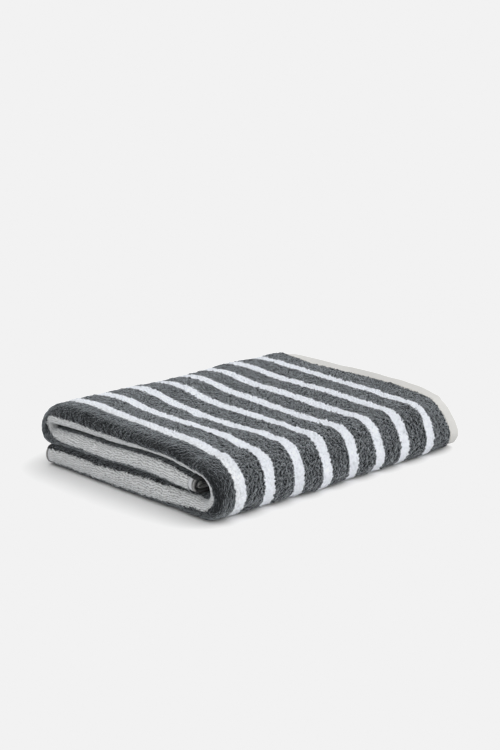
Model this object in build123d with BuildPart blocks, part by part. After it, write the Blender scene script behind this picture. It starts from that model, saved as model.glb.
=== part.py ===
from build123d import *
from math import cos, radians, sin
import os

# Folded terry bath towel, in millimetres. The towel is folded in quarters along its
# length, which stacks four cloth layers, and that stack is letter-folded in thirds.
# +X runs along the towel's length, from the folded ridge end (-X) to the hemmed end (+X).
# The wide front fold is at -Y and the tight back fold at +Y. The origin is at the
# middle of the footprint, on the surface that the towel lies on.

# overall folded size
LENGTH = 352.0
WIDTH = 267.0
HEIGHT = 64.0

# the four cloth layers of one panel
CLOTH = 4.65                     # thickness of one terry layer
PLY_GAP = 0.25                   # air left between two layers
PANEL = 4 * CLOTH + 3 * PLY_GAP  # thickness of one four-layer panel
REST_GAP = 0.3                   # air between the inner panel and the bottom panel

# hems
HEM_WIDTH = 15.0                 # flat-woven hem at the towel's ends
HEM_THICK = 3.4                  # the hem is thinner than the terry
SIDE_HEM = 7.0                   # turned hem along the towel's long sides
INNER_HEM_SETBACK = 3.0          # the inner layer's hem ends short of the outer one
MIDDLE_FOLD_SETBACK = 9.0        # the middle fold lies deeper in than the hems

# the front fold wraps all three panels, the back fold joins the top and inner panels
FRONT_R = HEIGHT / 2
FRONT_Y = -WIDTH / 2 + FRONT_R
BACK_R = (HEIGHT - PANEL - REST_GAP) / 2
BACK_Y = WIDTH / 2 - BACK_R
BACK_Z = HEIGHT - BACK_R

# free edges of the letter fold
BOTTOM_EDGE_Y = WIDTH / 2 - 8.0
TUNNEL = 12.0                    # open channel left between the inner panel and the front fold
INNER_EDGE_Y = -WIDTH / 2 + PANEL + TUNNEL

# the front fold is cut in three, where the towel opens like a book
HINGE_ANGLE = 45.0
CUT_GAP = 0.3                    # half of the cut between two moving bodies, in degrees

X_RIDGE = -LENGTH / 2
X_INNER_RIDGE = X_RIDGE + CLOTH + PLY_GAP
X_END = LENGTH / 2
X_CLOTH = X_END - HEM_WIDTH
X_INNER = X_CLOTH - INNER_HEM_SETBACK
X_MIDDLE = X_END - MIDDLE_FOLD_SETBACK - CLOTH


def layer_low(index):
    """Distance of a layer's outer face from the panel's outer face; layer 0 is outermost."""
    return index * (CLOTH + PLY_GAP)


def layer_high(index):
    return layer_low(index) + CLOTH


def ridge_outline(outer, inner, x_ridge, x_outer_end, x_inner_end):
    """Two layers of cloth joined by a round ridge at the -X end."""
    low = layer_low(outer)
    high = layer_high(inner)
    radius = (high - low) / 2
    hollow = radius - CLOTH
    x_arc = x_ridge + radius
    middle = (low + high) / 2
    return [
        ((x_outer_end, low), (x_arc, low)),
        ((x_arc, low), (x_ridge, middle), (x_arc, high)),
        ((x_arc, high), (x_inner_end, high)),
        ((x_inner_end, high), (x_inner_end, high - CLOTH)),
        ((x_inner_end, high - CLOTH), (x_arc, high - CLOTH)),
        ((x_arc, high - CLOTH), (x_arc - hollow, middle), (x_arc, low + CLOTH)),
        ((x_arc, low + CLOTH), (x_outer_end, low + CLOTH)),
        ((x_outer_end, low + CLOTH), (x_outer_end, low)),
    ]


def outer_cloth_outline():
    """First and last layer, joined by the outer ridge."""
    return ridge_outline(0, 3, X_RIDGE, X_CLOTH, X_MIDDLE)


def inner_cloth_outline():
    """Second and third layer, joined by the ridge that nests inside the outer one."""
    return ridge_outline(1, 2, X_INNER_RIDGE, X_INNER, X_MIDDLE)


def middle_fold_outline():
    """The fold at half the towel's length, which joins the third and the last layer."""
    low = layer_low(2)
    high = layer_high(3)
    radius = (high - low) / 2
    middle = (low + high) / 2
    slit = PLY_GAP / 2
    x_arc = X_MIDDLE + CLOTH
    return [
        ((X_MIDDLE, low), (x_arc, low)),
        ((x_arc, low), (x_arc + radius, middle), (x_arc, high)),
        ((x_arc, high), (X_MIDDLE, high)),
        ((X_MIDDLE, high), (X_MIDDLE, middle + slit)),
        ((X_MIDDLE, middle + slit), (x_arc, middle + slit)),
        ((x_arc, middle + slit), (x_arc + slit, middle), (x_arc, middle - slit)),
        ((x_arc, middle - slit), (X_MIDDLE, middle - slit)),
        ((X_MIDDLE, middle - slit), (X_MIDDLE, low)),
    ]


def hem_outline(index, x_start):
    """A flat hem with a rounded edge, in the middle of its layer's thickness."""
    middle = (layer_low(index) + layer_high(index)) / 2
    half = HEM_THICK / 2
    x_round = x_start + HEM_WIDTH - half
    return [
        ((x_start, middle - half), (x_round, middle - half)),
        ((x_round, middle - half), (x_round + half, middle), (x_round, middle + half)),
        ((x_round, middle + half), (x_start, middle + half)),
        ((x_start, middle + half), (x_start, middle - half)),
    ]


def straight_zone(y_start, y_end, z_outer):
    """A flat run of the panel, from y_start to y_end; z_outer is its outer face.

    A run towards +Y has its outer face up, and a run towards -Y has it down.
    """
    travel = 1.0 if y_end > y_start else -1.0
    plane = Plane(origin=(0, y_start, z_outer), x_dir=(1, 0, 0), z_dir=(0, travel, 0))
    return plane, abs(y_end - y_start), None


def fold_zone(y_centre, z_centre, radius, angle_start, angle_end, over_front):
    """An arc of the panel about an axis along X, in degrees from where the fold begins."""
    turn = radians(angle_start)
    side = -1.0 if over_front else 1.0
    origin = (0, y_centre + side * radius * sin(turn), z_centre + side * radius * cos(turn))
    travel = (0, side * cos(turn), -side * sin(turn))
    plane = Plane(origin=origin, x_dir=(1, 0, 0), z_dir=travel)
    return plane, angle_end - angle_start, Axis((0, y_centre, z_centre), (-1, 0, 0))


# outlines across the panel: X, and the distance from the panel's outer face
OUTLINES = {
    "outer_cloth": outer_cloth_outline(),
    "inner_cloth": inner_cloth_outline(),
    "middle_fold": middle_fold_outline(),
    "end_hem": hem_outline(0, X_CLOTH),
    "inner_end_hem": hem_outline(1, X_INNER),
}
# the side hems run on to the end hems' edges, because the towel's corners are full thickness
SIDE_HEM_OUTLINES = {
    "outer_layers": ridge_outline(0, 3, X_RIDGE, X_END, X_MIDDLE),
    "inner_layers": ridge_outline(1, 2, X_INNER_RIDGE, X_INNER + HEM_WIDTH, X_MIDDLE),
    "middle_fold": middle_fold_outline(),
}

# the zones of the letter fold, in order from the bottom panel's free edge to the inner one's
cut_low = HINGE_ANGLE - CUT_GAP
cut_high = HINGE_ANGLE + CUT_GAP
ZONES = {
    "bottom_panel": straight_zone(BOTTOM_EDGE_Y - SIDE_HEM, FRONT_Y, 0.0),
    "front_fold_lower": fold_zone(FRONT_Y, FRONT_R, FRONT_R, 0.0, cut_low, True),
    "front_fold_middle": fold_zone(FRONT_Y, FRONT_R, FRONT_R, cut_high, 180.0 - cut_high, True),
    "front_fold_upper": fold_zone(FRONT_Y, FRONT_R, FRONT_R, 180.0 - cut_low, 180.0, True),
    "top_panel": straight_zone(FRONT_Y, BACK_Y, HEIGHT),
    "back_fold": fold_zone(BACK_Y, BACK_Z, BACK_R, 0.0, 180.0, False),
    "inner_panel": straight_zone(BACK_Y, INNER_EDGE_Y + SIDE_HEM, PANEL + REST_GAP),
}
SIDE_ZONES = {
    "bottom_side_hem": straight_zone(BOTTOM_EDGE_Y, BOTTOM_EDGE_Y - SIDE_HEM, 0.0),
    "inner_side_hem": straight_zone(INNER_EDGE_Y + SIDE_HEM, INNER_EDGE_Y, PANEL + REST_GAP),
}


def make_piece(label, outline, zone):
    """Carry one outline through one zone and write it as a piece of its own."""
    plane, amount, axis = zone
    with BuildPart() as piece:
        with BuildSketch(plane):
            with BuildLine():
                for points in outline:
                    if len(points) == 2:
                        Line(*points)
                    else:
                        ThreePointArc(*points)
            make_face()
        if axis is None:
            extrude(amount=amount)
        else:
            revolve(axis=axis, revolution_arc=amount)
    piece.part.label = label
    export_step(piece.part, os.path.join("parts", label + ".step"))
    return piece.part


os.makedirs("parts", exist_ok=True)
pieces = []
for zone_name, zone in ZONES.items():
    for outline_name, outline in OUTLINES.items():
        pieces.append(make_piece(zone_name + "_" + outline_name, outline, zone))
for zone_name, zone in SIDE_ZONES.items():
    for outline_name, outline in SIDE_HEM_OUTLINES.items():
        pieces.append(make_piece(zone_name + "_" + outline_name, outline, zone))
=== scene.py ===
"""Looks of a folded terry bath towel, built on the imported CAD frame.

The cloth is one long strip. Along its length (u) it runs hem, first layer, outer ridge, last
layer, middle fold, third layer, inner ridge, second layer, hem. Across its width (v) that
four-layer panel follows the letter fold: bottom panel, front fold, top panel, back fold and
inner panel. Every mesh is a grid in (u, v), carried to its folded place by the same functions,
so neighbouring pieces meet. Lengths here are in millimetres until a mesh is made.
"""
import math

import bpy
import numpy as np
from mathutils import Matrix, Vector


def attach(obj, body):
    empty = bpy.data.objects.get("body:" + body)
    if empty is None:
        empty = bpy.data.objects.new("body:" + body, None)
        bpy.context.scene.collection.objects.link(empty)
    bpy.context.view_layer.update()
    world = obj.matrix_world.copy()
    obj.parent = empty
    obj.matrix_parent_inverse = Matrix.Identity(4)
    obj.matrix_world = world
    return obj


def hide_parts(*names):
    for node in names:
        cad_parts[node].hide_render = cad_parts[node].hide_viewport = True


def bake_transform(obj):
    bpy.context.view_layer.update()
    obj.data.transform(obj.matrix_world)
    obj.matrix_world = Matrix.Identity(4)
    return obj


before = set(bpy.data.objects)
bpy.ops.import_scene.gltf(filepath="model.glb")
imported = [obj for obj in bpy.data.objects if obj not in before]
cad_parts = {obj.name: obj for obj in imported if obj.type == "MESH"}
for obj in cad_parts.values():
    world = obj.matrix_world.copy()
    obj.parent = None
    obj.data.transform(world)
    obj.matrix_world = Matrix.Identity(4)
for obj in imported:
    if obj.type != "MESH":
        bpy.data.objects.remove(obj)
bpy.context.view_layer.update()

# ---------------------------------------------------------------- sizes, as in the CAD part
LENGTH, WIDTH, HEIGHT = 352.0, 267.0, 64.0
CLOTH, PLY_GAP = 4.65, 0.25
PANEL = 4 * CLOTH + 3 * PLY_GAP
REST_GAP = 0.3
HEM_WIDTH = 15.0
HEM_HALF = 1.3               # half the end hem's thickness
SEAM = HEM_WIDTH - 2.6       # the seam's distance from the hem's edge
SIDE_HEM = 7.0
FRONT_R = HEIGHT / 2
FRONT_Y = -WIDTH / 2 + FRONT_R
BACK_R = (HEIGHT - PANEL - REST_GAP) / 2
BACK_Y = WIDTH / 2 - BACK_R
BACK_Z = HEIGHT - BACK_R
BOTTOM_EDGE_Y = WIDTH / 2 - 8.0
INNER_EDGE_Y = -WIDTH / 2 + PANEL + 12.0
X_RIDGE, X_END = -LENGTH / 2, LENGTH / 2
X_CLOTH = X_END - HEM_WIDTH
X_INNER = X_CLOTH - 3.0
X_TURN = X_END - 9.0 - CLOTH / 2

# ---------------------------------------------------------------- stripes and pile
PITCH = 38.6                 # from one white stripe to the next
WHITE = 13.4                 # width of a white stripe
STRIPE_U = X_END + 147.6     # from the hem's edge to the stripe nearest the ridge
PLAIN = 34.0                 # plain border between the hem's edge and the first stripe's edge
STEP = 1.25                  # mesh step where the pile shows
ROW = 2.0                    # from one row of loops to the next, where they open on the ridge
PILE = 0.60                  # how far the loops stand out of the mesh
CELL = 1.25                  # grain of the pile
BACK_SHIFT = 731.0           # moves the pattern along u, so that the two sides of the cloth differ
FLOOR_GAP = 0.05             # the lowest that a point comes to lie

rng = np.random.default_rng(7)


def smooth(t):
    t = np.clip(t, 0.0, 1.0)
    return t * t * (3 - 2 * t)


def hill(x, centre, width):
    return np.exp(-(((x - centre) / width) ** 2))


def cubic(t, h, start, start_slope, end, end_slope):
    """Cubic between two values over a step h, at the share t of it."""
    return (start * (1 + 2 * t) * (1 - t) ** 2 + h * start_slope * t * (1 - t) ** 2
            + end * t * t * (3 - 2 * t) + h * end_slope * t * t * (t - 1))


def curve(xs, ys, x):
    """A smooth curve through points, without overshoot."""
    xs, ys = np.asarray(xs, float), np.asarray(ys, float)
    h = np.diff(xs)
    d = np.diff(ys) / h
    before, after = d[:-1], d[1:]
    mean = 2 * before * after / (before + after + 1e-12 * np.sign(after))
    m = np.concatenate([[d[0]], np.where(before * after > 0, mean, 0.0), [d[-1]]])
    x = np.clip(x, xs[0], xs[-1])
    i = np.clip(np.searchsorted(xs, x, side="right") - 1, 0, len(h) - 1)
    t = (x - xs[i]) / h[i]
    return cubic(t, h[i], ys[i], m[i], ys[i + 1], m[i + 1])


# ---------------------------------------------------------------- the strip across X
RIDGE_X = X_RIDGE + PANEL / 2
MID = [CLOTH / 2 + i * (CLOTH + PLY_GAP) for i in range(4)]
RIDGE_MID = PANEL / 2
OUTER_R = RIDGE_MID - MID[0]
INNER_R = (MID[2] - MID[1]) / 2
TURN_MID = (MID[2] + MID[3]) / 2
TURN_R = (MID[3] - MID[2]) / 2


def line(x0, x1, off, side):
    def at(t):
        return x0 + (x1 - x0) * t, off + 0 * t, 0 * t, side + 0 * t
    return abs(x1 - x0), at


def arc(xc, oc, r, x_side, o_side, face):
    def at(t):
        sx, so = x_side * np.sin(math.pi * t), o_side * np.cos(math.pi * t)
        return xc + r * sx, oc + r * so, face * sx, face * so
    return math.pi * (r + CLOTH / 2 * face), at


RUNS = [
    ("first", *line(X_CLOTH, RIDGE_X, MID[0], -1.0)),
    ("outer_ridge", *arc(RIDGE_X, RIDGE_MID, OUTER_R, -1.0, -1.0, 1.0)),
    ("last", *line(RIDGE_X, X_TURN, MID[3], 1.0)),
    ("turn", *arc(X_TURN, TURN_MID, TURN_R, 1.0, 1.0, 1.0)),
    ("third", *line(X_TURN, RIDGE_X, MID[2], -1.0)),
    ("inner_ridge", *arc(RIDGE_X, RIDGE_MID, INNER_R, -1.0, 1.0, -1.0)),
    ("second", *line(RIDGE_X, X_INNER, MID[1], 1.0)),
]
U_NOSE = HEM_WIDTH + RUNS[0][1] + RUNS[1][1] / 2
U_TOTAL = 2 * HEM_WIDTH + sum(run[1] for run in RUNS)


def spread(length, fine, reach):
    """0 to 1 in coarse steps, finer for reach millimetres at both ends."""
    near = reach / length
    n = max(2, int(round(reach / fine)))
    return np.concatenate([near * np.arange(n) / n, np.linspace(near, 1 - near, 16, endpoint=False),
                           1 - near + near * np.arange(n) / n])


def strip_samples(shown):
    """Samples along the strip: x, offset, normal in x and offset, and distance from the hem's edge.

    shown says which runs are seen, and so take the fine step.
    """
    cols, at_u = [], HEM_WIDTH
    for name, length, at in RUNS:
        if name in shown:
            t = np.arange(round(length / STEP)) / round(length / STEP)
        elif name == "outer_ridge":
            t = np.arange(28) / 28
        elif name in ("turn", "inner_ridge"):
            t = np.arange(10) / 10
        else:
            t = spread(length, 1.6, 12.0)
        x, off, nx, no = at(t)
        cols.append(np.stack([x, off, nx, no, at_u + t * length], -1))
        at_u += length
    x, off, nx, no = RUNS[-1][2](np.array([1.0]))
    cols.append(np.stack([x, off, nx, no, np.array([at_u])], -1))
    return np.concatenate(cols)


# ---------------------------------------------------------------- the letter fold across Y
V_FRONT = BOTTOM_EDGE_Y - FRONT_Y
V_WALL = V_FRONT + math.pi * FRONT_R / 2
V_TOP = V_FRONT + math.pi * FRONT_R
V_BACK = V_TOP + BACK_Y - FRONT_Y
V_INNER = V_BACK + math.pi * BACK_R
V_END = V_INNER + BACK_Y - INNER_EDGE_Y


def spine(v):
    """Place of the panel's outer face at v, and the direction into the panel: y, z, dy, dz."""
    a = np.clip((v - V_FRONT) / FRONT_R, 0, math.pi)
    b = np.clip((v - V_BACK) / BACK_R, 0, math.pi)
    where = [v < V_FRONT, v < V_TOP, v < V_BACK, v < V_INNER]
    y = np.select(where, [BOTTOM_EDGE_Y - v, FRONT_Y - FRONT_R * np.sin(a), FRONT_Y + v - V_TOP,
                          BACK_Y + BACK_R * np.sin(b)], BACK_Y - (v - V_INNER))
    z = np.select(where, [0 * v, FRONT_R - FRONT_R * np.cos(a), HEIGHT + 0 * v,
                          BACK_Z + BACK_R * np.cos(b)], PANEL + REST_GAP + 0 * v)
    dy = np.select(where, [0 * v, np.sin(a), 0 * v, -np.sin(b)], 0 * v)
    dz = np.select(where, [1 + 0 * v, np.cos(a), -1 + 0 * v, -np.cos(b)], 1 + 0 * v)
    return y, z, dy, dz


# ---------------------------------------------------------------- how the soft towel settles
# Height of the top at places along the length (x) and across the width (y), then the outline of
# the front fold's nose, (y, z), at the ridge end, over the middle and at the hemmed end.
PLACES = [-176.0, -148.0, -109.0, -70.0, -32.0, 7.0, 84.0, 122.0, 160.0, 176.0]
ACROSS = [-101.5, -75.0, -45.0, -15.0, 15.0, 45.0, 75.0, 92.0, 111.4]
TOPS = [
    [56.0, 60.8, 63.0, 64.2, 64.8, 66.2, 68.2, 68.0, 66.8],
    [56.3, 61.6, 63.2, 64.3, 64.8, 66.4, 68.3, 68.0, 66.6],
    [53.6, 58.4, 60.5, 61.3, 61.9, 63.2, 66.5, 66.6, 65.6],
    [54.6, 56.2, 55.8, 56.3, 58.4, 61.2, 66.0, 67.3, 65.8],
    [53.6, 54.9, 55.9, 56.9, 57.6, 60.7, 66.0, 66.7, 65.0],
    [53.3, 53.5, 54.3, 56.4, 58.5, 60.3, 64.7, 66.2, 64.9],
    [55.6, 56.3, 58.2, 59.5, 59.9, 61.0, 64.2, 65.7, 65.0],
    [54.5, 55.8, 57.8, 58.7, 60.3, 62.5, 64.3, 65.0, 64.2],
    [52.5, 56.5, 58.9, 59.0, 58.8, 59.8, 61.0, 62.6, 64.6],
    [54.0, 59.8, 61.6, 62.0, 62.0, 62.6, 63.3, 63.4, 63.6],
]
RIDGE_NOSE = [(-117, 0.6), (-124.5, 4.0), (-130.5, 10.0), (-134.6, 21.0),
              (-134.0, 30.0), (-131.8, 38.0), (-127.8, 45.0), (-118.5, 52.0)]
NEAR_NOSE = [(-119, 0.5), (-126.5, 4.0), (-130.8, 10.0), (-133.2, 20.0),
             (-132.6, 28.0), (-131.0, 36.0), (-127.8, 43.5), (-119.8, 50.5)]
NOSE = [(-121, 0.4), (-128.2, 3.6), (-132.6, 9.5), (-135.0, 19.0),
        (-133.6, 27.0), (-130.6, 35.0), (-126.4, 43.0), (-119.3, 50.2)]
HEM_NOSE = [(-120, 1.0), (-127.0, 5.0), (-130.8, 12.0), (-130.8, 18.0),
            (-128.0, 25.0), (-122.5, 36.0), (-117.5, 42.9), (-110.5, 48.0)]
NOSES = [RIDGE_NOSE, RIDGE_NOSE, NEAR_NOSE, NEAR_NOSE, NOSE, NOSE, NOSE, NOSE, HEM_NOSE, HEM_NOSE]
# Shares of the height at which the panels lie, neat and settled at the ridge end.
NEAT = [-1.0, 0.0, 0.305, 0.61, 0.695, 1.0, 2.0]
LEVEL_Y = [-101.5, -60.0, -38.0, 0.0, 36.0, 90.0, 134.0]
LEVEL_1 = [0.385, 0.395, 0.395, 0.37, 0.345, 0.33, 0.33]
LEVEL_2 = [0.700, 0.713, 0.716, 0.684, 0.636, 0.610, 0.610]
LEVEL_3 = [0.745, 0.742, 0.742, 0.708, 0.665, 0.655, 0.655]
PINCH = 0.50                 # how much thicker the front fold's layers lie than the neat ones
MEETING_ANGLE = 0.3          # the part of the front fold's arc that runs into the flat panels
FULLER = 3.6                 # how much further the back fold reaches, away from the ridge
BACK_SAG = 6.0               # how far the back fold hangs at the ridge end


def pick(rows, i):
    """The value in row i of each column."""
    return np.take_along_axis(rows, i[None], 0)[0]


def along(rows, x):
    """Blends values known at PLACES smoothly along the length. rows is one array for each place."""
    places = np.array(PLACES)
    x = np.clip(x, places[0], places[-1])
    i = np.clip(np.searchsorted(places, x, side="right") - 1, 0, len(places) - 2)
    rows = np.stack([np.broadcast_to(r, x.shape) for r in rows])
    slopes = np.empty_like(rows)
    spans = (places[2:] - places[:-2]).reshape((-1,) + (1,) * x.ndim)
    slopes[1:-1] = (rows[2:] - rows[:-2]) / spans
    slopes[0] = (rows[1] - rows[0]) / (places[1] - places[0])
    slopes[-1] = (rows[-1] - rows[-2]) / (places[-1] - places[-2])
    h = places[i + 1] - places[i]
    t = (x - places[i]) / h
    return cubic(t, h, pick(rows, i), pick(slopes, i), pick(rows, i + 1), pick(slopes, i + 1))


def top_height(x, y):
    return along([curve(ACROSS, row, y) for row in TOPS], x)


def levels(share, x, y):
    """Where a share of the neat height comes to lie once the panels have settled at the ridge."""
    flat = share.ravel()
    yy = np.broadcast_to(y, share.shape).ravel()
    table = [curve(LEVEL_Y, row, yy) for row in (LEVEL_1, LEVEL_2, LEVEL_3)]
    goal = np.stack([-1 + 0 * yy, 0 * yy, *table, 1 + 0 * yy, 2 + 0 * yy])
    i = np.clip(np.searchsorted(NEAT, flat, side="right") - 1, 0, len(NEAT) - 2)
    lo, hi = np.take(NEAT, i), np.take(NEAT, i + 1)
    a, b = pick(goal, i), pick(goal, i + 1)
    settled = (a + (b - a) * (flat - lo) / (hi - lo)).reshape(share.shape)
    nose = smooth((-30.0 - x) / 95.0)
    return share + nose * (settled - share)


def nose_radius(a, x):
    """Distance of the front fold's outline from its centre line, at the angle a from straight down."""
    rows = []
    for place, tops, nose in zip(PLACES, TOPS, NOSES):
        top = tops[0]
        centre = top * levels(np.array([0.5]), np.array([place]), FRONT_Y)[0]
        angles = [math.atan2(FRONT_Y - y, centre - z) for y, z in nose]
        radii = [math.hypot(FRONT_Y - y, centre - z) for y, z in nose]
        rows.append(curve([0.0, *angles, math.pi], [centre, *radii, top - centre], a))
    return along(rows, x)


def settle_front(x, y, z, ridge):
    """New y and z of points in the front fold, which turns about a centre line."""
    top = top_height(x, FRONT_Y + 0 * x)
    centre = levels(0.5 + 0 * x, x, FRONT_Y)
    a = np.arctan2(np.maximum(FRONT_Y - y, 0), FRONT_R - z)
    s = np.hypot(np.maximum(FRONT_Y - y, 0), FRONT_R - z) / FRONT_R
    down = (centre - levels(0.5 - s / 2, x, FRONT_Y)) / centre
    up = (levels(0.5 + s / 2, x, FRONT_Y) - centre) / (1 - centre)
    w = (1 - np.cos(a)) / 2
    reach = down + w * (up - down)
    rim = PANEL / FRONT_R
    pinch = 1.0 + PINCH * smooth((x + 170.0) / 26.0) * np.sin(a) ** 2
    s = np.where(s < 1, 1 - np.minimum((1 - s) * pinch, 1.0), s)
    inside = np.where(s < 1 - rim, s / (1 - rim), np.maximum(1 - s, 0) / rim)
    reach = reach + 0.20 * ridge * np.sin(a) ** 2 * inside
    radius = nose_radius(a, x)
    # at the very ends of the arc the outline meets the flat panels
    low, high = centre * top, (1 - centre) * top
    radius = (radius + (low - radius) * smooth(1 - a / MEETING_ANGLE)
              + (high - radius) * smooth((a - math.pi + MEETING_ANGLE) / MEETING_ANGLE))
    return FRONT_Y - reach * radius * np.sin(a), centre * top - reach * radius * np.cos(a)


def settle_back(x, y, z, ridge):
    """New y and z of points in the back fold, which hangs lower at the ridge end."""
    top = top_height(x, BACK_Y + 0 * x)
    mid_share, low_share = BACK_Z / HEIGHT, (PANEL + REST_GAP) / HEIGHT
    mid = levels(mid_share + 0 * x, x, BACK_Y)
    low = levels(low_share + 0 * x, x, BACK_Y)
    b = np.arctan2(np.maximum(y - BACK_Y, 0), z - BACK_Z)
    s = np.hypot(np.maximum(y - BACK_Y, 0), z - BACK_Z) / BACK_R
    up = (levels(mid_share + s * (1 - mid_share), x, BACK_Y) - mid) / (1 - mid)
    down = (mid - levels(mid_share - s * (mid_share - low_share), x, BACK_Y)) / (mid - low)
    w = (1 - np.cos(b)) / 2
    reach = up + w * (down - up)
    hole = (BACK_R - PANEL) / BACK_R
    inside = np.where(s < hole, s / hole, np.maximum(1 - s, 0) / (1 - hole))
    reach = reach + 0.22 * ridge * np.sin(b) ** 2 * inside
    high, deep = (1 - mid) * top, (mid - low) * top
    # away from the ridge the fold is fuller
    outer = np.clip((s - hole) / (1 - hole), 0, 1)
    full = FULLER * smooth((x - 5.0) / 90.0) * smooth((182.0 - x) / 30.0) * outer
    radius = high + w * (deep - high) + np.sin(b) ** 2 * (BACK_R - (high + deep) / 2)
    radius = radius - 2.4 * b * hill(b, 0, 0.7) + 1.4 * hill(b, 1.0, 0.45) + full * hill(b, 0.72, 0.5)
    sag = ridge * np.sin(b) * smooth(s) * BACK_SAG
    return BACK_Y + reach * radius * np.sin(b), mid * top + reach * radius * np.cos(b) - sag


def settle(p):
    """Carries points of the neat folded shape to the soft one."""
    x, y, z = p[..., 0], p[..., 1], p[..., 2]
    ridge = smooth((-118.0 - x) / 50.0)
    # between the folds, heights only scale
    level_y = np.clip(y, FRONT_Y, BACK_Y)
    new_y = y
    new_z = levels(z / HEIGHT, x, level_y) * top_height(x, level_y)
    front = y < FRONT_Y
    rear = (y > BACK_Y) & (z > PANEL + REST_GAP / 2)
    for here, moved in ((front, settle_front(x, y, z, ridge)), (rear, settle_back(x, y, z, ridge))):
        new_y = np.where(here, moved[0], new_y)
        new_z = np.where(here, moved[1], new_z)
    # soft unevenness
    lift = np.clip(z / 20.0, 0, 1)
    ends = smooth((np.abs(x) - 120) / 50)
    sway = 1.2 * np.sin(y / 41.0 + 0.6) + 0.7 * np.sin(y / 17.0 + z / 9.0)
    new_x = x + lift * ends * sway + 0.8 * np.sin(y / 29.0 + 1.4) * np.sin(x / 70.0)
    long_wave = 0.6 * np.sin(x / 47.0 + 0.5) * smooth((np.abs(y) - 80) / 40)
    short_wave = 0.4 * np.sin(x / 19.0 + z / 14.0) * smooth((np.abs(y) - 100) / 30)
    new_y = new_y + long_wave + short_wave
    return np.stack([new_x, new_y, new_z], -1)


# ---------------------------------------------------------------- unevenness of the pile
LATTICE = rng.normal(size=(1283, 719))


def sample(cell, u, v):
    """Smooth random relief with a grain of cell millimetres."""
    a, b = u / cell, v / cell
    i, j = np.floor(a).astype(int), np.floor(b).astype(int)
    f, g = smooth(a - i), smooth(b - j)
    n, m = LATTICE.shape
    i0, i1, j0, j1 = i % n, (i + 1) % n, j % m, (j + 1) % m
    return ((LATTICE[i0, j0] * (1 - f) + LATTICE[i1, j0] * f) * (1 - g)
            + (LATTICE[i0, j1] * (1 - f) + LATTICE[i1, j1] * f) * g)


def grain(u, v):
    """Relief of the loops, which lie flatter, in rows, where the cloth bends over the ridge."""
    ridge = smooth((36.0 - np.abs(u - U_NOSE)) / 14.0)
    return sample(CELL, u, v) * (1 - ridge) + 0.55 * ridge * sample(CELL, u, v / 1.4)


def pile(u, v):
    return PILE * grain(u, v) + 0.30 * sample(12.0, u + 300, v) - 0.15


# The white stripe on the ridge, across the cloth: at v, how far it is moved, how much it is narrowed.
RIDGE_STRIPE = [
    (0.0, 4.4, 1.06), (90.0, 4.4, 1.06), (V_FRONT - 62, 3.3, 0.95), (V_FRONT - 14, 0.5, 1.0),
    (V_FRONT, -2.0, 1.0), (V_FRONT + 16, -2.5, 1.0), (V_FRONT + 32, -1.3, 1.0), (V_WALL + 4, -1.5, 1.0),
    (V_WALL + 14, -2.0, 1.0), (V_WALL + 24, -3.0, 1.0), (V_WALL + 35, -5.0, 1.0), (V_TOP, -4.4, 1.0),
    (V_TOP + 60, -4.8, 1.0), (V_BACK - 20, -3.7, 0.95), (V_BACK + 8, -2.4, 0.9), (V_BACK + 22, -7.0, 0.8),
    (V_BACK + 42, -10.5, 0.8), (V_INNER - 7, -5.0, 1.6), (V_INNER + 6, -2.0, 1.1), (V_INNER + 28, 0.2, 0.85),
    (V_INNER + 80, 1.6, 0.8), (V_END, 3.6, 0.8),
]


def stripe_u(u, v, x):
    """Length along the cloth that sets the stripe. The fold line wanders a little at the ridge."""
    knots, shifts, widths = zip(*RIDGE_STRIPE)
    near = smooth((-156.0 - x) / 14.0)
    u = u + 2.4 * hill(u, STRIPE_U - 7 * PITCH, 14.0)
    centre = STRIPE_U + PITCH
    moved = u + near * curve(knots, shifts, v)
    local = smooth(1 - np.abs(moved - centre) / 16.0) * near
    return moved + local * (moved - centre) * (curve(knots, widths, v) - 1.0)


# ---------------------------------------------------------------- meshes
def grid_points(strip, v, lift):
    """Points of the strip at each v, lifted off the cloth's middle by lift along the strip's normal."""
    y, z, dy, dz = spine(v)
    x = strip[:, 0] + strip[:, 2] * lift
    off = strip[:, 1] + strip[:, 3] * lift
    p = np.zeros((len(strip), len(v), 3))
    p[..., 0] = x[:, None]
    p[..., 1] = y[None, :] + off[:, None] * dy[None, :]
    p[..., 2] = z[None, :] + off[:, None] * dz[None, :]
    return p


def unit(n):
    return n / np.maximum(np.linalg.norm(n, axis=-1, keepdims=True), 1e-9)


def make_mesh(name, verts, faces, material, normals=None, place=None, raised=None):
    """A smooth object of one material. Cloth also keeps its normals, its place and its raised pile."""
    mesh = bpy.data.meshes.new(name)
    mesh.from_pydata((verts / 1000.0).tolist(), [], faces)
    if place is not None:
        cloth_at = mesh.attributes.new("cloth", "FLOAT_VECTOR", "POINT")
        cloth_at.data.foreach_set("vector", place.astype(np.float32).ravel())
        raised_at = mesh.attributes.new("raised", "FLOAT", "POINT")
        raised_at.data.foreach_set("value", raised.astype(np.float32).ravel())
    mesh.polygons.foreach_set("use_smooth", np.ones(len(mesh.polygons), bool))
    if normals is not None:
        mesh.normals_split_custom_set_from_vertices(normals.tolist())
    mesh.materials.append(material)
    mesh.update()
    obj = bpy.data.objects.new(name, mesh)
    bpy.context.scene.collection.objects.link(obj)
    return obj


def thinned(count, every):
    """Every few of count numbers, and always the last."""
    return np.unique(np.concatenate([np.arange(0, count - 1, every), [count - 1]]))


def wall(fine, coarse, keep):
    """Faces that close the edge between a finely and a coarsely divided side."""
    return [list(fine[keep[i]:keep[i + 1] + 1]) + [coarse[i + 1], coarse[i]]
            for i in range(len(keep) - 1)]


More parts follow.
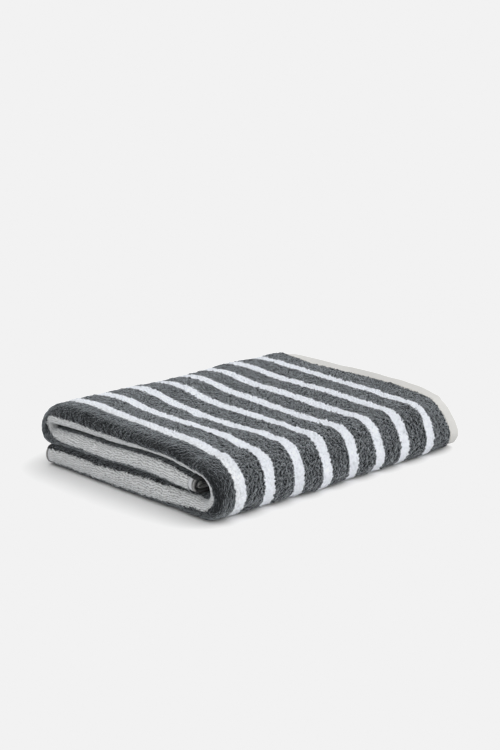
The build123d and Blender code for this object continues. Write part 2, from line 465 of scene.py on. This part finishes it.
def side_points(strip, half, v, sign, relief):
    """One side of the cloth: its points, normals, place on the flat cloth and raised pile."""
    pad = np.concatenate([[v[0] - 0.8], v, [v[-1] + 0.8]])
    uu = np.repeat(strip[:, 4:5], len(v), axis=1)
    vv = np.repeat(v[None, :], len(strip), axis=0)
    xx = np.repeat(strip[:, 0:1], len(v), axis=1)
    base = settle(grid_points(strip, pad, sign * half))
    n = unit(np.cross(np.gradient(base, axis=1), np.gradient(base, axis=0)))[:, 1:-1]
    base = base[:, 1:-1]
    outward = settle(grid_points(strip, v, sign * (half + 0.2))) - base
    n = n * np.where((n * outward).sum(-1, keepdims=True) < 0, -1.0, 1.0)
    along_u = uu + (0 if sign > 0 else BACK_SHIFT)
    raised = grain(along_u, vv)
    p = base + n * relief(along_u, vv)[..., None]
    p[..., 2] = np.maximum(p[..., 2], FLOOR_GAP)
    shade = unit(np.cross(np.gradient(p, axis=1), np.gradient(p, axis=0)))
    shade = shade * np.where((shade * n).sum(-1, keepdims=True) < 0, -1.0, 1.0)
    shade[:, 0], shade[:, -1] = n[:, 0], n[:, -1]
    place = np.stack([stripe_u(uu, vv, xx), vv, np.full_like(uu, sign)], -1)
    return p.reshape(-1, 3), unit(shade).reshape(-1, 3), place.reshape(-1, 3), raised.ravel()


def quads_of(g):
    """The four corners of every cell of a grid of point numbers."""
    return np.stack([g[:-1, :-1].ravel(), g[1:, :-1].ravel(), g[1:, 1:].ravel(), g[:-1, 1:].ravel()], -1)


def sheet_mesh(name, strip, half, v0, v1, v_step, relief, material, every=3):
    """A closed piece of cloth over the strip between two values of v, half to each side of its middle.

    The face of the cloth has the fine mesh, and its hidden back takes only every few of its points.
    """
    half = np.broadcast_to(half, (len(strip),))
    v = np.linspace(v0, v1, max(4, int(round((v1 - v0) / v_step))) + 1)
    rows, cols = thinned(len(strip), every), thinned(len(v), every)
    face, face_n, face_at, face_up = side_points(strip, half, v, 1.0, relief)
    back, back_n, back_at, back_up = side_points(strip[rows], half[rows], v[cols], -1.0, relief)
    k = np.arange(len(strip) * len(v)).reshape(len(strip), len(v))
    m = np.arange(len(rows) * len(cols)).reshape(len(rows), len(cols)) + k.size
    q = quads_of(k)
    verts, norms = np.concatenate([face, back]), np.concatenate([face_n, back_n])
    out = np.cross(verts[q[:, 1]] - verts[q[:, 0]], verts[q[:, 2]] - verts[q[:, 0]])
    turned = (out * norms[q[:, 0]]).sum() < 0
    faces = q.tolist() + quads_of(m)[:, ::-1].tolist()
    edges = ((k[:, 0], m[:, 0], rows, True), (k[:, -1], m[:, -1], rows, False),
             (k[0], m[0], cols, False), (k[-1], m[-1], cols, True))
    for fine, coarse, keep, backwards in edges:
        for corners in wall(fine, coarse, keep):
            faces.append([int(i) for i in (corners[::-1] if backwards else corners)])
    if turned:
        faces = [f[::-1] for f in faces]
    place, raised = np.concatenate([face_at, back_at]), np.concatenate([face_up, back_up])
    return make_mesh(name, verts, faces, material, norms, place, raised)


# ---------------------------------------------------------------- materials
def new_material(name):
    mat = bpy.data.materials.new(name)
    mat.use_nodes = True
    nt = mat.node_tree
    nt.nodes.clear()
    out = nt.nodes.new("ShaderNodeOutputMaterial")
    bsdf = nt.nodes.new("ShaderNodeBsdfPrincipled")
    nt.links.new(bsdf.outputs[0], out.inputs[0])
    return mat, nt, bsdf


def calc(nt, op, *values):
    """A math node on numbers or sockets."""
    n = nt.nodes.new("ShaderNodeMath")
    n.operation = op
    for i, v in enumerate(values):
        if isinstance(v, (int, float)):
            n.inputs[i].default_value = v
        else:
            nt.links.new(v, n.inputs[i])
    return n.outputs[0]


def centred(nt, value, size):
    """A value about 0.5 made to swing about 0, size times as wide."""
    return calc(nt, "MULTIPLY", calc(nt, "SUBTRACT", value, 0.5), size)


def mix_colour(nt, factor, a, b):
    n = nt.nodes.new("ShaderNodeMix")
    n.data_type = "RGBA"
    for socket, v in ((n.inputs[0], factor), (n.inputs[6], a), (n.inputs[7], b)):
        if isinstance(v, (int, float)):
            socket.default_value = v
        elif isinstance(v, tuple):
            socket.default_value = (*v, 1.0)
        else:
            nt.links.new(v, socket)
    return n.outputs[2]


def noise(nt, vector, scale, detail=2.0, rough=0.5):
    n = nt.nodes.new("ShaderNodeTexNoise")
    n.inputs["Scale"].default_value = scale
    n.inputs["Detail"].default_value = detail
    n.inputs["Roughness"].default_value = rough
    nt.links.new(vector, n.inputs["Vector"])
    return n.outputs["Fac"]


def scaled(nt, vector, x, y, z):
    n = nt.nodes.new("ShaderNodeVectorMath")
    n.operation = "MULTIPLY"
    n.inputs[1].default_value = (x, y, z)
    nt.links.new(vector, n.inputs[0])
    return n.outputs[0]


def remap(nt, value, a, b, c, d):
    """Carries the range a to b to the range c to d, and stops at its ends."""
    n = nt.nodes.new("ShaderNodeMapRange")
    for i, v in enumerate((a, b, c, d)):
        n.inputs[i + 1].default_value = v
    nt.links.new(value, n.inputs[0])
    return n.outputs[0]


def cloth_coordinates(nt):
    """The place on the flat cloth, as a vector for textures and as u, v and side."""
    attr = nt.nodes.new("ShaderNodeAttribute")
    attr.attribute_name = "cloth"
    split = nt.nodes.new("ShaderNodeSeparateXYZ")
    nt.links.new(attr.outputs["Vector"], split.inputs[0])
    return scaled(nt, attr.outputs["Vector"], 1.0, 1.0, 40.0), split.outputs


def surface(nt, bsdf, height, strength, distance, roughness, specular, sheen):
    """Bumps from a height, and how the surface takes the light."""
    bump = nt.nodes.new("ShaderNodeBump")
    bump.inputs["Strength"].default_value = strength
    bump.inputs["Distance"].default_value = distance
    nt.links.new(height, bump.inputs["Height"])
    nt.links.new(bump.outputs[0], bsdf.inputs["Normal"])
    bsdf.inputs["Roughness"].default_value = roughness
    bsdf.inputs["Specular IOR Level"].default_value = specular
    bsdf.inputs["Sheen Weight"].default_value = sheen


def stripe_mask(nt, u, side, jag):
    """1 where the yarn is white: narrow stripes on the face, all but those on the reverse."""
    place = calc(nt, "ADD", u, jag)
    phase = calc(nt, "DIVIDE", calc(nt, "SUBTRACT", place, STRIPE_U), PITCH)
    near = calc(nt, "ABSOLUTE", calc(nt, "SUBTRACT", phase, calc(nt, "ROUND", phase)))
    stripe = remap(nt, calc(nt, "MULTIPLY", near, PITCH), WHITE / 2 + 0.3, WHITE / 2 - 0.3, 0.0, 1.0)
    inside = calc(nt, "MULTIPLY", remap(nt, place, PLAIN, PLAIN + 1, 0.0, 1.0),
                  remap(nt, place, U_TOTAL - PLAIN - 1, U_TOTAL - PLAIN, 1.0, 0.0))
    stripe = calc(nt, "MULTIPLY", stripe, inside)
    if side is None:
        return stripe
    reverse = remap(nt, side, 0.2, -0.2, 0.0, 1.0)
    return calc(nt, "ABSOLUTE", calc(nt, "SUBTRACT", stripe, reverse))


PILE_SHADE = (0.004, 0.005, 0.006)  # charcoal in painted deep shade, for the shade deep between the loops


def terry_material():
    mat, nt, bsdf = new_material("terry")
    flat, (u, _, side) = cloth_coordinates(nt)
    loops = nt.nodes.new("ShaderNodeTexVoronoi")
    loops.inputs["Scale"].default_value = 0.70
    loops.inputs["Randomness"].default_value = 1.0
    nt.links.new(scaled(nt, flat, 1.0, 1.15, 1.0), loops.inputs["Vector"])
    cell = nt.nodes.new("ShaderNodeSeparateColor")
    nt.links.new(loops.outputs["Color"], cell.inputs[0])
    # the stripe's edge steps from loop to loop
    jag = centred(nt, cell.outputs[1], 2.0)
    jag = calc(nt, "ADD", jag, centred(nt, noise(nt, flat, 0.35, 1.0), 2.6))
    jag = calc(nt, "ADD", jag, centred(nt, noise(nt, flat, 0.03, 1.0), 2.0))
    mask = stripe_mask(nt, u, side, jag)
    # loops stand in rows that open on the ridge, and each loop catches the light in its own way, painted
    # into its tone; painted shade also darkens the colour at each loop's rim, where the pile lies low, and
    # deep between the loops
    dome = remap(nt, loops.outputs["Distance"], 0.05, 0.75, 1.0, 0.0)
    yarn = noise(nt, flat, 1.5, 2.0, 0.7)
    clump = noise(nt, flat, 0.22, 2.0, 0.5)
    bend = remap(nt, calc(nt, "ABSOLUTE", calc(nt, "SUBTRACT", u, U_NOSE)), 40.0, 14.0, 0.0, 1.0)
    wander = calc(nt, "MULTIPLY", noise(nt, flat, 0.10, 2.0), 7.0)
    rows = calc(nt, "SINE", calc(nt, "MULTIPLY", calc(nt, "ADD", u, wander), 2 * math.pi / ROW))
    strand = noise(nt, scaled(nt, flat, 1.0, 0.45, 1.0), 1.5, 2.0, 0.6)
    raised = nt.nodes.new("ShaderNodeAttribute")
    raised.attribute_name = "raised"
    # painted shade: each loop is painted lighter at its top and darker at its rim
    tone = calc(nt, "ADD", calc(nt, "MULTIPLY", dome, 0.28), calc(nt, "MULTIPLY", cell.outputs[0], 0.62))
    # painted shade: the lower the pile lies, the darker its colour
    tone = calc(nt, "ADD", tone, calc(nt, "MULTIPLY", raised.outputs["Fac"], 0.25))
    tone = calc(nt, "ADD", tone, centred(nt, yarn, 0.9))
    tone = calc(nt, "ADD", tone, centred(nt, clump, 0.20))
    # painted shade: on the ridge the lines between the opened rows are painted darker
    ridge = calc(nt, "ADD", calc(nt, "MULTIPLY", rows, 0.20), centred(nt, strand, 1.3))
    ridge = calc(nt, "SUBTRACT", calc(nt, "ADD", ridge, 0.48), tone)
    tone = calc(nt, "ADD", tone, calc(nt, "MULTIPLY", ridge, calc(nt, "MULTIPLY", bend, 0.75)))
    # the tone takes the charcoal from its lit tips down to the painted deep shade
    tip = calc(nt, "POWER", remap(nt, tone, 0.10, 1.0, 0.0, 1.0), 2.2)
    dark = mix_colour(nt, tip, PILE_SHADE, (0.215, 0.227, 0.243))
    # painted shade: over the ridge the charcoal is painted darker, for the ridge end turned from the light
    # and the gaps between its opened rows
    dark = mix_colour(nt, calc(nt, "MULTIPLY", bend, 0.66), dark, PILE_SHADE)
    # painted shade: the white yarn is painted greyer where the tone is low
    shaded = remap(nt, tone, -0.25, 0.35, 0.0, 1.0)
    light = mix_colour(nt, shaded, (0.66, 0.68, 0.72), (0.85, 0.872, 0.93))
    # painted shade: on the ridge the white stripes get dark gaps between the opened rows, and are painted
    # greyer and warmer for the ridge end in shade
    ridge_gap_shade = calc(nt, "MULTIPLY", remap(nt, tone, 0.60, 0.14, 0.0, 0.90), bend)
    light = mix_colour(nt, calc(nt, "MULTIPLY", bend, 0.5), light, (0.70, 0.70, 0.655))
    light = mix_colour(nt, ridge_gap_shade, light, (0.10, 0.10, 0.098))
    nt.links.new(mix_colour(nt, mask, dark, light), bsdf.inputs["Base Color"])
    surface(nt, bsdf, tone, strength=1.0, distance=0.0012, roughness=0.95, specular=0.12, sheen=0.92)
    bsdf.inputs["Sheen Roughness"].default_value = 0.25
    bsdf.inputs["Sheen Tint"].default_value = (0.88, 0.95, 1.0, 1.0)
    return mat


def weave(nt, flat, count):
    """Height of a plain weave with count threads in a millimetre."""
    split = nt.nodes.new("ShaderNodeSeparateXYZ")
    nt.links.new(flat, split.inputs[0])
    wave = [calc(nt, "SINE", calc(nt, "MULTIPLY", axis, math.pi * count)) for axis in split.outputs[:2]]
    return calc(nt, "ADD", calc(nt, "MULTIPLY", calc(nt, "MULTIPLY", *wave), 0.5), 0.5)


def hem_material():
    mat, nt, bsdf = new_material("hem")
    flat, (u, _, _) = cloth_coordinates(nt)
    threads = weave(nt, flat, 1.6)
    slub = noise(nt, scaled(nt, flat, 0.3, 1.0, 1.0), 1.2, 3.0, 0.6)
    tone = calc(nt, "ADD", calc(nt, "MULTIPLY", threads, 0.5), calc(nt, "MULTIPLY", slub, 0.6))
    grade = remap(nt, tone, 0.2, 0.8, 0.0, 1.0)
    colour = mix_colour(nt, grade, (0.395, 0.390, 0.375), (0.525, 0.520, 0.505))
    # painted shade: the colour is dimmed in the shallow valley where the hem is sewn down
    seam_valley_shade = remap(nt, calc(nt, "ABSOLUTE", calc(nt, "SUBTRACT", u, SEAM)), 0.0, 0.7, 0.82, 1.0)
    dim = nt.nodes.new("ShaderNodeVectorMath")
    dim.operation = "SCALE"
    nt.links.new(colour, dim.inputs[0])
    nt.links.new(seam_valley_shade, dim.inputs["Scale"])
    nt.links.new(dim.outputs[0], bsdf.inputs["Base Color"])
    surface(nt, bsdf, tone, strength=0.5, distance=0.0004, roughness=0.85, specular=0.25, sheen=0.15)
    return mat


def side_hem_material():
    mat, nt, bsdf = new_material("side_hem")
    flat, (u, v, _) = cloth_coordinates(nt)
    mask = stripe_mask(nt, u, None, centred(nt, noise(nt, flat, 0.8, 2.0), 1.2))
    threads = weave(nt, flat, 1.4)
    slub = noise(nt, scaled(nt, flat, 1.0, 0.35, 1.0), 1.6, 3.0, 0.6)
    tone = calc(nt, "ADD", calc(nt, "MULTIPLY", threads, 0.55), calc(nt, "MULTIPLY", slub, 0.5))
    # folded edges and seams run along the hem; painted shade darkens the creases between them
    crease_shade = calc(nt, "SINE", calc(nt, "MULTIPLY", calc(nt, "ADD", v, slub), 2 * math.pi / 3.4))
    tone = calc(nt, "MULTIPLY", tone, remap(nt, crease_shade, -1.0, -0.1, 0.25, 1.0))
    grade = remap(nt, tone, 0.1, 0.85, 0.0, 1.0)
    dark = mix_colour(nt, grade, (0.012, 0.013, 0.014), (0.075, 0.080, 0.085))
    light = mix_colour(nt, grade, (0.015, 0.015, 0.016), (0.52, 0.52, 0.515))
    # the hem's inner part is paler
    from_middle = calc(nt, "ABSOLUTE", calc(nt, "SUBTRACT", v, V_END / 2))
    from_edge = calc(nt, "SUBTRACT", V_END / 2, from_middle)
    light = mix_colour(nt, remap(nt, from_edge, 2.2, 4.2, 0.0, 0.85), light, (0.62, 0.63, 0.66))
    nt.links.new(mix_colour(nt, mask, dark, light), bsdf.inputs["Base Color"])
    surface(nt, bsdf, tone, strength=0.7, distance=0.0005, roughness=0.9, specular=0.2, sheen=0.2)
    return mat


def thread_material():
    mat, nt, bsdf = new_material("sewing_thread")
    coord = nt.nodes.new("ShaderNodeTexCoord")
    ply = noise(nt, coord.outputs["Object"], 2600.0, 2.0)
    nt.links.new(mix_colour(nt, ply, (0.50, 0.48, 0.44), (0.74, 0.72, 0.67)), bsdf.inputs["Base Color"])
    bsdf.inputs["Roughness"].default_value = 0.6
    bsdf.inputs["Sheen Weight"].default_value = 0.2
    return mat


def floor_material():
    mat, nt, bsdf = new_material("floor")
    bsdf.inputs["Base Color"].default_value = (0.80, 0.80, 0.80, 1.0)
    bsdf.inputs["Roughness"].default_value = 1.0
    bsdf.inputs["Specular IOR Level"].default_value = 0.0
    return mat


terry, hem, side_hem, thread = terry_material(), hem_material(), side_hem_material(), thread_material()

# ---------------------------------------------------------------- pieces
SHOWN = ("first",)
STITCH = 3.0                 # sewing stitch pitch
STITCH_LENGTH = STITCH * 0.8
THREAD_R = 0.34


def cloth_between(name, v0, v1, shown):
    return sheet_mesh(name, strip_samples(shown), CLOTH / 2, v0, v1, STEP, pile, terry)


def side_hem_between(name, v0, v1, shown):
    def flat_weave(u, v):
        return 0.10 * sample(1.6, u, v) + 0.25 * sample(15.0, u, v) - 0.1
    return sheet_mesh(name, strip_samples(shown), CLOTH / 2 - 0.75, v0, v1, STEP, flat_weave, side_hem)


def end_hem_between(name, v0, v1, x0, x1, off, normal):
    """The turned hem from its folded edge at x1 to the terry at x0; it runs on a little inside the terry."""
    rounded = 1 - np.cos(np.linspace(0, math.pi / 2, 5))[:-1]
    t = np.concatenate([rounded, np.linspace(1, x1 - x0 + 1.2, 12)])
    half = HEM_HALF * np.sqrt(np.clip(1 - np.clip(1.0 - t, 0, 1) ** 2, 0.03, 1))
    strip = np.stack([x1 - t, np.full_like(t, off), 0 * t, np.full_like(t, normal), t], -1)

    def woven(u, v):
        valley = 0.14 * hill(u % BACK_SHIFT, SEAM, 0.8)
        return 0.06 * sample(1.4, u, v) + 0.30 * sample(18.0, u, v) - valley
    return sheet_mesh(name, strip, half, v0, v1, 1.6, woven, hem, every=1)


def stitches_between(name, rows, v0, v1):
    """Rows of short thread stitches along v. A row is (x, offset, normal, height over the middle)."""
    first = int(math.ceil((v0 + 0.2) / STITCH))
    last = int(math.floor((v1 - 0.2 - STITCH_LENGTH) / STITCH))
    t = np.linspace(0, 1, 5)
    ring = np.linspace(0, 2 * math.pi, 6, endpoint=False)
    around, rings = len(ring), len(t)
    verts, faces = [], []
    for x, off, normal, height in rows:
        for start in STITCH * np.arange(first, last + 1):
            base = len(verts)
            y, z, dy, dz = spine(start + t * STITCH * 0.8)
            for k in range(rings):
                r = THREAD_R * (0.45 + 0.55 * math.sin(math.pi * (0.08 + 0.84 * t[k])))
                h = off + normal * (height + 0.25 * math.sin(math.pi * t[k]) - 0.1)
                for g in ring:
                    o = h + r * math.cos(g)
                    verts.append((x + r * math.sin(g), y[k] + o * dy[k], z[k] + o * dz[k]))
            for k in range(rings - 1):
                here = base + around * k
                for g in range(around):
                    ahead = (g + 1) % around
                    faces.append((here + g, here + ahead, here + around + ahead, here + around + g))
            faces.append(tuple(base + g for g in range(around - 1, -1, -1)))
            faces.append(tuple(base + around * (rings - 1) + g for g in range(around)))
    verts = settle(np.array(verts))
    verts[:, 2] = np.maximum(verts[:, 2], FLOOR_GAP)
    return make_mesh(name, verts, faces, thread)


def on_base(obj):
    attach(obj, "base")


def on_cover(obj):
    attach(obj, "cover")


def on_lower_fold(obj):
    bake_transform(obj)


def on_upper_fold(obj):
    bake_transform(obj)


nodes = list(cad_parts)
FRONT_FLAT = math.pi / 2 * (FRONT_R - PANEL / 2)
BACK_FLAT = math.pi * (BACK_R - PANEL / 2)
V_HEMMED = V_END - SIDE_HEM
# zone: range of v, flat width, how it moves, runs seen, CAD zones it stands for
ZONES = {
    "bottom_panel": (SIDE_HEM, V_FRONT, V_FRONT - SIDE_HEM, on_base, ("last",), ["bottom_panel"]),
    "front_fold_lower": (V_FRONT, V_WALL, FRONT_FLAT, on_lower_fold, SHOWN,
                         ["front_fold_lower", "front_fold_middle"]),
    "front_fold_upper": (V_WALL, V_TOP, FRONT_FLAT, on_upper_fold, SHOWN, ["front_fold_upper"]),
    "top_panel": (V_TOP, V_BACK, V_BACK - V_TOP, on_cover, SHOWN, ["top_panel"]),
    "back_fold": (V_BACK, V_INNER, BACK_FLAT, on_cover, SHOWN, ["back_fold"]),
    "inner_panel": (V_INNER, V_HEMMED, V_HEMMED - V_INNER, on_cover, ("last",), ["inner_panel"]),
}
for zone, (v0, v1, width, move, shown, cad_zones) in ZONES.items():
    cloth = cloth_between(zone + "_terry", v0, v1, shown)
    hem_v0 = 0.0 if zone == "bottom_panel" else v0
    hem_v1 = V_END if zone == "inner_panel" else v1
    x_under = X_INNER + HEM_WIDTH
    outer = end_hem_between(zone + "_top_hem", hem_v0, hem_v1, X_CLOTH, X_END, MID[0], -1.0)
    inner = end_hem_between(zone + "_under_hem", hem_v0, hem_v1, X_INNER, x_under, MID[1], 1.0)
    seam_rows = [(X_END - SEAM, MID[0], -1.0, HEM_HALF), (x_under - SEAM, MID[1], 1.0, HEM_HALF)]
    seams = stitches_between(zone + "_hem_stitches", seam_rows, hem_v0, hem_v1)
    for obj, slot in ((cloth, "terry"), (outer, "hem"), (inner, "hem"), (seams, "hem")):
        move(obj)
    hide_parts(*[n for n in nodes for c in cad_zones if n.startswith(c) and "hem" not in n])
    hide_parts(*[n for n in nodes for c in cad_zones if n == c + "_end_hem"])
    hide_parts(*[n for n in nodes for c in cad_zones if n == c + "_inner_end_hem"])
    if zone in ("bottom_panel", "inner_panel"):
        edge_v0, edge_v1 = (0.0, v0) if zone == "bottom_panel" else (v1, V_END)
        edge = side_hem_between(zone + "_edge_hem", edge_v0, edge_v1, shown)
        move(edge)
        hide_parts(*[n for n in nodes if n.startswith(zone.split("_")[0] + "_side_hem")])

# ---------------------------------------------------------------- stage, light and camera
FLOOR_SIZE = 900
PAPER_WHITE = 0.887          # brightest light the picture reaches
BACKDROP = 1.06              # brightness of the surroundings, before the sides and the top are added
TO_THE_RIGHT = (0.7177, -0.6964, 0.0)
KEY_DIRECTION = (-0.50, 0.30, -0.85)
CAMERA_AT = (-0.9783, -1.0022, 0.4349)
CAMERA_DOWN, CAMERA_TURN = 13.97, -44.14
LENS = 67.2

bpy.ops.mesh.primitive_plane_add(size=FLOOR_SIZE, location=(0, 0, 0))
floor = bpy.context.object
floor.name = "floor"
floor.data.materials.append(floor_material())

scene = bpy.context.scene
scene.view_settings.view_transform = "Standard"
# whites stop at a soft paper white, as in a light studio print
scene.view_settings.use_curve_mapping = True
shoulder = scene.view_settings.curve_mapping.curves[3]
shoulder.points[1].location = (PAPER_WHITE, PAPER_WHITE)
shoulder.points.new(1.0, PAPER_WHITE)
for point in shoulder.points:
    point.handle_type = "VECTOR"
scene.view_settings.curve_mapping.update()

world = bpy.data.worlds.new("studio")
scene.world = world
world.use_nodes = True
wn = world.node_tree
wn.nodes.clear()
wout = wn.nodes.new("ShaderNodeOutputWorld")
sky = wn.nodes.new("ShaderNodeBackground")
coord = wn.nodes.new("ShaderNodeTexCoord")
side_light = wn.nodes.new("ShaderNodeVectorMath")
side_light.operation = "DOT_PRODUCT"
side_light.inputs[1].default_value = TO_THE_RIGHT
wn.links.new(coord.outputs["Generated"], side_light.inputs[0])
parts = wn.nodes.new("ShaderNodeSeparateXYZ")
wn.links.new(coord.outputs["Generated"], parts.inputs[0])
right = remap(wn, side_light.outputs["Value"], 0.22, 1.0, 0.0, 0.70)
left = remap(wn, side_light.outputs["Value"], -0.22, -1.0, 0.0, -1.0)
above = remap(wn, parts.outputs[2], 0.10, 0.9, 0.0, 0.38)
sides = calc(wn, "ADD", right, left)
wn.links.new(calc(wn, "ADD", sides, calc(wn, "ADD", above, BACKDROP)), sky.inputs[1])
sky.inputs[0].default_value = (1.0, 1.0, 1.0, 1.0)
wn.links.new(sky.outputs[0], wout.inputs[0])

sun_data = bpy.data.lights.new("key", "SUN")
sun_data.energy = 0.5
sun_data.angle = math.radians(40)
sun = bpy.data.objects.new("key", sun_data)
sun.rotation_euler = Vector(KEY_DIRECTION).to_track_quat("-Z", "Y").to_euler()
scene.collection.objects.link(sun)

cam_data = bpy.data.cameras.new("camera")
camera = bpy.data.objects.new("camera", cam_data)
camera.location = CAMERA_AT
camera.rotation_euler = (math.radians(90 - CAMERA_DOWN), 0.0, math.radians(CAMERA_TURN))
cam_data.lens = LENS
cam_data.clip_end = 2000
scene.collection.objects.link(camera)
scene.camera = camera
